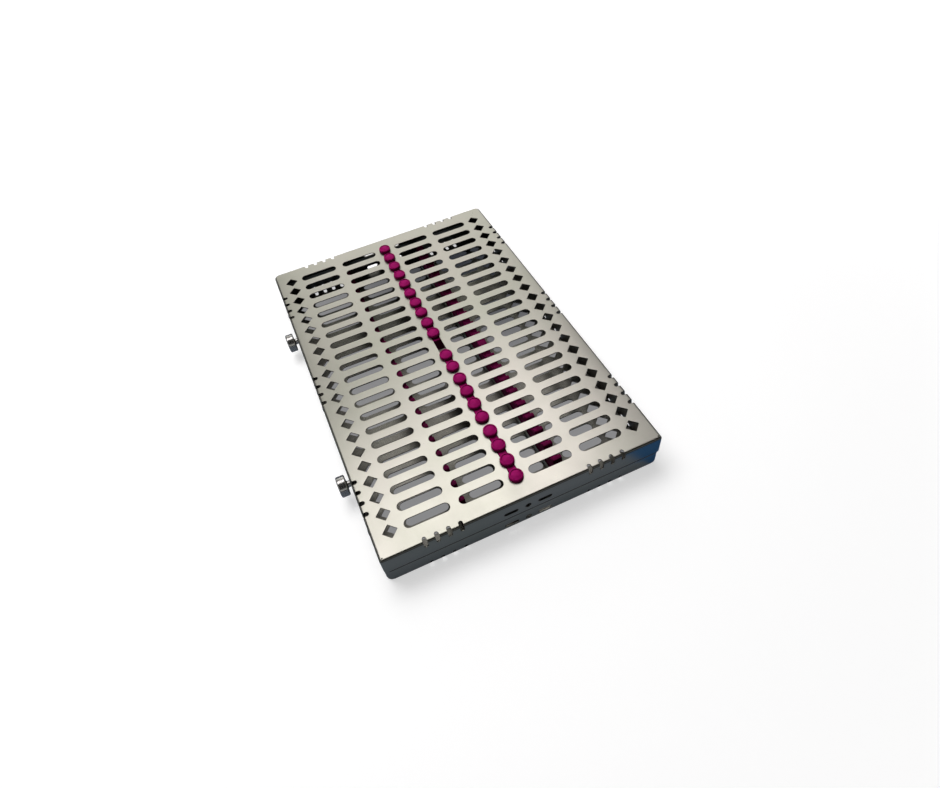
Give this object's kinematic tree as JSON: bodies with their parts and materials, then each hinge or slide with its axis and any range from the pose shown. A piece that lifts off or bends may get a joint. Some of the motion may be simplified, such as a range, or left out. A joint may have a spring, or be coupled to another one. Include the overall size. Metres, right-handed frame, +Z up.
{
  "type": "dental instrument cassette",
  "caption": "Flat perforated steel case with a hinged lid, sliding knob latch and silicone strips that hold dental hand instruments for sterilising.",
  "frame": {"origin": "centre of the base's flat underside, on the strip of solid floor between the two inner columns of slots", "axes": "+X across the cassette towards the hinges, +Y along its long side, +Z up through the lid"},
  "size_m": [0.201, 0.28, 0.0309],
  "materials": {
    "satin_steel": "satin sheet stainless steel, passivated, slightly warm grey",
    "polished_steel": "turned and polished stainless steel",
    "silicone": "matt magenta silicone rubber"
  },
  "bodies": {
    "base": {"base_shell": "satin_steel", "rail_left": "silicone", "rail_right": "silicone", "rail_channel_left": "satin_steel", "rail_channel_right": "satin_steel", "hinge_base_leaf_rear": "satin_steel", "hinge_base_leaf_front": "satin_steel", "hinge_pin_rear": "polished_steel", "hinge_pin_front": "polished_steel", "hinge_base_rivet_rear_a": "polished_steel", "hinge_base_rivet_rear_b": "polished_steel", "hinge_base_rivet_front_a": "polished_steel", "hinge_base_rivet_front_b": "polished_steel", "latch_guide_rear": "polished_steel", "latch_guide_middle": "polished_steel", "latch_guide_front": "polished_steel"},
    "lid": {"lid_shell": "satin_steel", "lid_strip_rear": "silicone", "lid_strip_front": "silicone", "lid_keeper_rear": "satin_steel", "lid_keeper_front": "satin_steel", "hinge_lid_leaf_rear": "satin_steel", "hinge_lid_leaf_front": "satin_steel", "hinge_lid_rivet_rear_a": "polished_steel", "hinge_lid_rivet_rear_b": "polished_steel", "hinge_lid_rivet_front_a": "polished_steel", "hinge_lid_rivet_front_b": "polished_steel"},
    "latch": {"latch_bar": "satin_steel", "latch_knob_rear": "polished_steel", "latch_knob_front": "polished_steel"}
  },
  "joints": [
    {"name": "lid_hinge", "type": "hinge", "parent": "base", "child": "lid", "pos_m": [0.0965, 0, 0.0132], "axis": [0, 1, 0], "range_deg": [0, 160]},
    {"name": "latch_slide", "type": "slide", "parent": "base", "child": "latch", "axis": [0, 1, 0], "range_m": [0, 0.008]}
  ]
}
